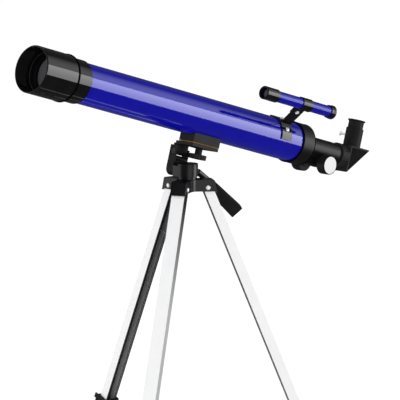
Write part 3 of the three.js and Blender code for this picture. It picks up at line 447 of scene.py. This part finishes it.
COATS = {
    "tube_blue": dict(one=(0.004, 0.0035, 0.31), two=(0.005, 0.0045, 0.34), rough=(0.1, 0.14),
                      metallic=0.1, coat=1.0, coat_rough=0.01, specular=0.1, lumps=2400, relief=3e-8),
    "finder_blue": dict(one=(0.004, 0.0035, 0.29), two=(0.005, 0.0045, 0.32), rough=(0.16, 0.22),
                        metallic=0.1, coat=0.55, coat_rough=0.08, specular=0.1, lumps=2400, relief=3e-8),
    "gloss_black": dict(one=grey(0.003), two=grey(0.005), rough=(0.03, 0.045), specular=0.47,
                        lumps=2400, relief=3e-8),
    "satin_black": dict(one=grey(0.007), two=grey(0.011), rough=(0.46, 0.56), specular=0.16,
                        lumps=1500, relief=6e-6),
    "moulded_black": dict(one=grey(0.009), two=grey(0.014), rough=(0.44, 0.52), specular=0.14,
                          lumps=1300, relief=4e-6),
    "head_black": dict(one=grey(0.004), two=grey(0.007), rough=(0.26, 0.34), specular=0.34,
                       lumps=1300, relief=3e-6),
    "collar_black": dict(one=grey(0.004), two=grey(0.007), rough=(0.34, 0.42), specular=0.25,
                         lumps=1300, relief=3e-6),
    "rim_black": dict(one=grey(0.016), two=grey(0.02), rough=(0.46, 0.56), specular=0.09,
                      lumps=1500, relief=5e-6),
    "flat_black": dict(one=grey(0.006), two=grey(0.009), rough=(0.6, 0.7), specular=0.03,
                       lumps=1500, relief=5e-6),
    "matt_black": dict(one=grey(0.003), two=grey(0.006), rough=(0.55, 0.7), specular=0.1,
                       lumps=1800, relief=8e-6),
    "edge_black": dict(one=grey(0.001), two=grey(0.002), rough=(0.7, 0.8), specular=0.01,
                       lumps=1800, relief=4e-6),
    "foot_rubber": dict(one=grey(0.012), two=grey(0.02), rough=(0.7, 0.85), specular=0.3,
                        lumps=1500, relief=2e-5),
    "leg_aluminium": dict(one=(0.785, 0.787, 0.79), two=(0.805, 0.807, 0.81), rough=(0.34, 0.4),
                          metallic=0.08, specular=0.12, lumps=2200, relief=3e-7, stretch=DRAWN),
    "cap_white": dict(one=grey(0.79), two=grey(0.82), rough=(0.35, 0.42), specular=0.12,
                      lumps=1500, relief=2e-6),
    "bright_steel": dict(one=grey(0.86), two=grey(0.9), rough=(0.16, 0.24), metallic=0.3,
                         lumps=1200, relief=2e-6),
    "dark_steel": dict(one=(0.03, 0.03, 0.032), two=(0.045, 0.045, 0.047), rough=(0.25, 0.36),
                       metallic=0.6, lumps=1600, relief=3e-6),
    "ring_steel": dict(one=(0.1, 0.105, 0.12), two=(0.13, 0.135, 0.15), rough=(0.25, 0.36), metallic=0.7,
                       lumps=1600, relief=3e-6),
    "brass": dict(one=(0.5, 0.34, 0.12), two=(0.58, 0.42, 0.17), rough=(0.2, 0.32), metallic=1.0,
                  lumps=1400, relief=2e-6, stretch=(1, 0.1, 1)),
    "mirror": dict(one=(0.9, 0.91, 0.92), two=(0.93, 0.94, 0.95), rough=(0.02, 0.03),
                   metallic=1.0, relief=1e-7),
}
# Painted shade and painted dark reflection for the legs' aluminium. The front leg's inward faces and flanks
# are darkest near the hub and grey lower down. The other legs' inward faces are near black. The inner faces
# of all the flanks are grey.
SHADED = {
    "leg_shade_front": ((0.01, 0.01, 0.0105), (0.5, 0.5, 0.505), 0.02, 0.17),
    "leg_shade_rear": (grey(0.006), grey(0.016), 0.0, 0.4),
    "leg_shade_far": ((0.012, 0.012, 0.0125), (0.03, 0.03, 0.031), 0.0, 0.4),
    "leg_shade_inner_flank": ((0.16, 0.16, 0.162), (0.34, 0.34, 0.343), 0.0, 0.3),
}
MATERIALS = {"lens_glass": glass("lens_glass"), "cork": cork("cork")}
MATERIALS.update({name: coated(name, **look) for name, look in COATS.items()})
MATERIALS.update({name: shade_gradient(name, *look) for name, look in SHADED.items()})

# ---- Trim: thin rings too fine for the shared model ----


def band(inner, outer, start, end):
    """The rectangular section of a ring, as [radius, height] points in millimetres."""
    return [[inner, start], [outer, start], [outer, end], [inner, end]]


def hoop(name, node, place, section, material="edge_black", segments=128, radius=0.5):
    """A ring about the Y axis of place, on the body that holds the CAD node."""
    outline = softened([Vector(point) * MM for point in section], radius * MM)
    mesh = revolved(outline, place, segments)
    body = NODES[node]["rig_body"]
    return even_normals(add_piece(mesh, name, place, body, [material]))


# ---- Tube ----

COLLAR_REACH = 47.1                 # from the housing's front end to its collar's rear edge

for node in ("main_tube", "dew_shade", "objective_cell", "lens_retaining_ring"):
    turned(node, TUBE, segments=160, radius=0.5)
for node in ("crown_lens", "flint_lens"):
    turned(node, TUBE, segments=120, radius=0.3)

shade_rear = extent("dew_shade", TUBE)[1]
ring_front = extent("lens_retaining_ring", TUBE)[0]
tube_rear = extent("main_tube", TUBE)[1]
collar_rear = extent("focuser_housing", TUBE)[0] + COLLAR_REACH
hoop("dew_shade_lip", "dew_shade", TUBE,
     band(inner=29.5, outer=31.75, start=shade_rear - 2.3, end=shade_rear + 0.2))
hoop("retaining_ring_edge", "lens_retaining_ring", TUBE,
     band(inner=26.2, outer=26.6, start=ring_front - 0.2, end=ring_front + 0.3),
     material="ring_steel", radius=0.15)
hoop("collar_front_lip", "focuser_housing", TUBE,
     band(inner=27.2, outer=29.05, start=tube_rear - 0.9, end=tube_rear + 0.9))
hoop("collar_rear_lip", "focuser_housing", TUBE, [
    [26.2, collar_rear - 2.0],
    [29.1, collar_rear - 2.0],
    [29.1, collar_rear - 0.9],
    [27.8, collar_rear + 0.2],
    [26.2, collar_rear + 0.2],
])

# ---- Focuser ----


def knob_rim(cap):
    """The section of the thin black ring about a knob's cap, whose face is the end farther from the tube."""
    face = max(extent(cap, FOCUS), key=abs)
    outward = math.copysign(1, face)
    return band(inner=12.0, outer=12.8, start=face - 1.6 * outward, end=face + 0.1 * outward)


refined("focuser_housing", TUBE, width=0.5, material="collar_black")
refined("drawtube", TUBE, width=0.3, material="collar_black")
for side in ("near", "far"):
    cap = "knob_cap_" + side
    turned("focus_knob_" + side, FOCUS, segments=120, radius=0.6)
    turned(cap, FOCUS, radius=0.3, material="cap_white")
    hoop("knob_rim_" + side, cap, FOCUS, knob_rim(cap), segments=96, radius=0.2)
refined("focus_shaft", FOCUS, width=0.1, segments=2)

# ---- Diagonal and eyepiece ----

PANEL_FROM = 14.5                   # the sunken panels of the diagonal's sides lie between these
PANEL_TO = 15.5                     # distances from its middle plane
PANEL_FACING = 0.9


def sunken_side(normal, centre):
    return abs(normal.x) > PANEL_FACING and PANEL_FROM < abs(centre.x) / MM < PANEL_TO


# The diagonal's sides have a hole each, which a single face could not go around
refined("diagonal_body", TUBE, width=0.25, material="rim_black", others=["flat_black"], chosen=sunken_side,
        whole=False)
refined("diagonal_mirror", TUBE, width=0.2)
for node in ("eyepiece_holder", "eyepiece"):
    turned(node, EYEPIECE, material="satin_black")
for node in ("eye_lens", "field_lens"):
    turned(node, EYEPIECE)
turned("eyepiece_thumbscrew", THUMBSCREW, segments=64, radius=0.25, material="cap_white")

# ---- Finder ----

turned("finder_tube", FINDER, material="finder_blue")
for node in ("finder_shade", "finder_eyepiece", "finder_objective", "finder_eye_lens"):
    turned(node, FINDER)
refined("finder_ring", FINDER, width=0.3)
finder_front = extent("finder_tube", FINDER)[0]
hoop("finder_stop", "finder_tube", FINDER,
     band(inner=5.9, outer=7.2, start=finder_front - 0.9, end=finder_front - 0.35), segments=64, radius=0.2)
refined("finder_bracket", TUBE, width=0.3)
for node in ("finder_ring_screw", "bracket_screw_near", "bracket_screw_far"):
    refined(node, TUBE, width=0.1)

# ---- Cradle and head ----

refined("tube_saddle", TUBE, width=0.6)
refined("cork_pad", TUBE, width=0.1)
refined("camera_plate", FLIP, width=0.5)
refined("camera_screw_knob", KNOB, width=0.25)
refined("tilt_arm", FLIP, width=0.5)
refined("flip_screw", FLIP, width=0.15)
refined("pan_base", PAN, width=0.4, material="head_black")
turned("tilt_bolt", TILT, segments=64)
turned("pan_handle_rod", HANDLE, segments=64, radius=0.3, slimmer=0.25)
refined("pan_handle_grip", HANDLE, width=0.9)

# ---- Tripod ----

FACING = 0.7                        # a face looks some way when its normal goes this far along it


def shaded_side(leg, place):
    """Picks the faces of a leg that get painted shade. Those that look inward, and the front leg's flanks,
    take the first of the other materials, a dark painted shade.
    The inner faces of the flanks take the second, a grey painted shade."""
    outward = joint_place("leg_splay_" + leg) - joint_place("pan_turn")
    outward.z = 0
    outward = place.inverted().to_3x3() @ outward.normalized()

    def chosen(normal, centre):
        flank = abs(normal.z) > FACING
        if flank and normal.z * centre.z < 0:
            return 2
        return normal.dot(outward) < -FACING or (flank and leg == "front")

    return chosen


refined("hub", PAN, width=0.5, material="head_black")
for leg in LEGS:
    turned("leg_rivet_" + leg, rivet_frame(leg), segments=48, radius=0.2)
    place = leg_frame(leg)
    # dark holds the painted shade materials for the faces that shaded_side picks.
    dark = ["leg_shade_" + leg, "leg_shade_inner_flank"]
    for node in ("leg_outer_" + leg, "leg_inner_" + leg):
        refined(node, place, width=0.3, others=dark, chosen=shaded_side(leg, place))
    refined("leg_lock_" + leg, place, width=0.6)
    refined("lock_lever_" + leg, place, width=0.5)
    refined("foot_" + leg, place, width=0.9)

# ---- Camera ----

CAMERA_AZIMUTH = 0.7646             # radians, from +X towards -Y
CAMERA_ELEVATION = 0.1484           # radians
CAMERA_ROLL = -0.0146               # radians
CAMERA_DISTANCE = 3.82687           # metres, from the pan axis at the height of the leg pins
CAMERA_ASIDE = 0.01748
CAMERA_RAISED = -0.01717
SENSOR = 36.0                       # millimetres
FOCAL_LENGTH = 258.0471


def add_camera():
    target = joint_place("pan_turn")
    target.z = joint_place("leg_splay_front").z
    towards = Vector((math.cos(CAMERA_AZIMUTH), -math.sin(CAMERA_AZIMUTH), 0))
    right = Vector((math.sin(CAMERA_AZIMUTH), math.cos(CAMERA_AZIMUTH), 0))
    up = math.cos(CAMERA_ELEVATION) * UP - math.sin(CAMERA_ELEVATION) * towards
    back = math.sin(CAMERA_ELEVATION) * UP + math.cos(CAMERA_ELEVATION) * towards
    place = target + CAMERA_ASIDE * right + CAMERA_RAISED * up + CAMERA_DISTANCE * back
    rolled_right = math.cos(CAMERA_ROLL) * right - math.sin(CAMERA_ROLL) * up
    rolled_up = math.sin(CAMERA_ROLL) * right + math.cos(CAMERA_ROLL) * up
    turn = Matrix((rolled_right, rolled_up, back)).transposed().to_4x4()
    data = bpy.data.cameras.new("camera")
    data.sensor_width = SENSOR
    data.lens = FOCAL_LENGTH
    data.clip_end = 200
    camera = bpy.data.objects.new("camera", data)
    camera.matrix_world = Matrix.Translation(place) @ turn
    bpy.context.scene.collection.objects.link(camera)
    bpy.context.scene.camera = camera


# ---- Floor and light ----

FLOOR_SIZE = 40                     # metres from the middle to each edge
FLOOR_GLOW = 0.1                    # a little light of its own, so that it stays white up to the horizon
KEY_TOP = Vector((0.51, 0.81, 0.30)).normalized()           # the key panel lies between these directions
KEY_BOTTOM = Vector((0.69, 0.63, -0.36)).normalized()
GLOW_SPREAD = math.radians(36)      # how far from KEY_TOP the glow that polished surfaces mirror reaches
GLOW_FALLOFF = 1.6
GLOW_RADIANCE = 1.4
ROOM_RADIANCE = 0.07                # what they mirror elsewhere
LOW_RADIANCE = 0.45                 # what matt surfaces get from below
HIGH_RADIANCE = 1.15                # and from above


def add_floor():
    mesh = bmesh.new()
    bmesh.ops.create_grid(mesh, x_segments=1, y_segments=1, size=FLOOR_SIZE)
    data = bpy.data.meshes.new("floor")
    mesh.to_mesh(data)
    mesh.free()
    material, _, shader = new_material("pale_floor")
    shader.inputs["Base Color"].default_value = (0.95, 0.95, 0.95, 1)
    shader.inputs["Roughness"].default_value = 0.9
    shader.inputs["Specular IOR Level"].default_value = 0.1
    shader.inputs["Emission Color"].default_value = (1, 1, 1, 1)
    shader.inputs["Emission Strength"].default_value = FLOOR_GLOW
    data.materials.append(material)
    floor = bpy.data.objects.new("floor", data)
    floor.location.z = -0.5 * MM
    bpy.context.scene.collection.objects.link(floor)
    floor.visible_glossy = False
    floor.visible_shadow = False


def add_panel(name, direction, along, distance, width, height, radiance, seen=True, lights=True):
    """A soft box: its face looks back along direction, and its width runs as near as it can to along. seen is
    whether polished surfaces mirror it, and lights whether it lights matt ones."""
    z = direction.normalized()
    x = (along - along.dot(z) * z).normalized()
    y = z.cross(x)
    data = bpy.data.lights.new(name, "AREA")
    data.shape = "RECTANGLE"
    data.size = width
    data.size_y = height
    data.energy = radiance * math.pi * width * height
    panel = bpy.data.objects.new(name, data)
    centre = joint_place("tilt") + distance * z
    panel.matrix_world = Matrix.Translation(centre) @ Matrix((x, y, z)).transposed().to_4x4()
    panel.visible_camera = False
    panel.visible_glossy = seen
    panel.visible_diffuse = lights
    bpy.context.scene.collection.objects.link(panel)


def toward(azimuth, elevation):
    """A direction, in degrees from +X towards +Y and up from the level."""
    around = math.radians(azimuth)
    up = math.radians(elevation)
    return Vector((math.cos(up) * math.cos(around), math.cos(up) * math.sin(around), math.sin(up)))


def background(tree, strength):
    """White of a strength that is a number or comes from a node."""
    node = tree.nodes.new("ShaderNodeBackground")
    node.inputs["Color"].default_value = (1, 1, 1, 1)
    if isinstance(strength, float):
        node.inputs["Strength"].default_value = strength
    else:
        tree.links.new(strength, node.inputs["Strength"])
    return node.outputs["Background"]


def mixed(tree, factor, one, two):
    node = tree.nodes.new("ShaderNodeMixShader")
    tree.links.new(factor, node.inputs["Fac"])
    tree.links.new(one, node.inputs[1])
    tree.links.new(two, node.inputs[2])
    return node.outputs["Shader"]


def add_world():
    """White behind the object, a dim room with one soft glow in polished surfaces, and light that is
    strongest from above on matt ones."""
    world = bpy.data.worlds.new("studio")
    bpy.context.scene.world = world
    world.use_nodes = True
    world.cycles.sampling_method = "NONE"
    tree = world.node_tree
    tree.nodes.clear()
    output = tree.nodes.new("ShaderNodeOutputWorld")
    paths = tree.nodes.new("ShaderNodeLightPath")
    direction = tree.nodes.new("ShaderNodeTexCoord")

    def share_along(vector):
        node = tree.nodes.new("ShaderNodeVectorMath")
        node.operation = "DOT_PRODUCT"
        node.inputs[1].default_value = vector
        tree.links.new(direction.outputs["Generated"], node.inputs[0])
        return node.outputs["Value"]

    nearness = tree.nodes.new("ShaderNodeMath")
    nearness.operation = "POWER"
    nearness.inputs[1].default_value = GLOW_FALLOFF
    edge = math.cos(GLOW_SPREAD)
    tree.links.new(spread(tree, share_along(KEY_TOP), edge, 1.0, 0.0, 1.0), nearness.inputs[0])
    glow = spread(tree, nearness.outputs["Value"], 0.0, 1.0, ROOM_RADIANCE, GLOW_RADIANCE)
    even = spread(tree, share_along(UP), -0.2, 0.9, LOW_RADIANCE, HIGH_RADIANCE)
    unseen = mixed(tree, paths.outputs["Is Glossy Ray"], background(tree, even), background(tree, glow))
    shown = mixed(tree, paths.outputs["Is Camera Ray"], unseen, background(tree, 1.0))
    tree.links.new(shown, output.inputs["Surface"])


def add_panels():
    """One tall panel for the bright band along the tube, one light from the front, and a card on each side
    for the head's flat faces."""
    key = KEY_TOP + KEY_BOTTOM
    level = key.cross(KEY_TOP - KEY_BOTTOM)
    add_panel("key_panel", key, level, distance=8.0, width=4.2, height=5.3, radiance=3.9, lights=False)
    add_panel("front_light", toward(azimuth=-68, elevation=24), UP, distance=3.2, width=2.2, height=2.2,
              radiance=1.9, seen=False)
    add_panel("right_card", toward(azimuth=-14, elevation=-5), UP, distance=5.0, width=3.4, height=4.4,
              radiance=1.2, lights=False)
    add_panel("left_card", toward(azimuth=-138, elevation=-5), UP, distance=5.0, width=3.4, height=3.8,
              radiance=1.2, lights=False)


add_camera()
add_floor()
add_world()
add_panels()
bpy.context.scene.view_settings.view_transform = "Standard"
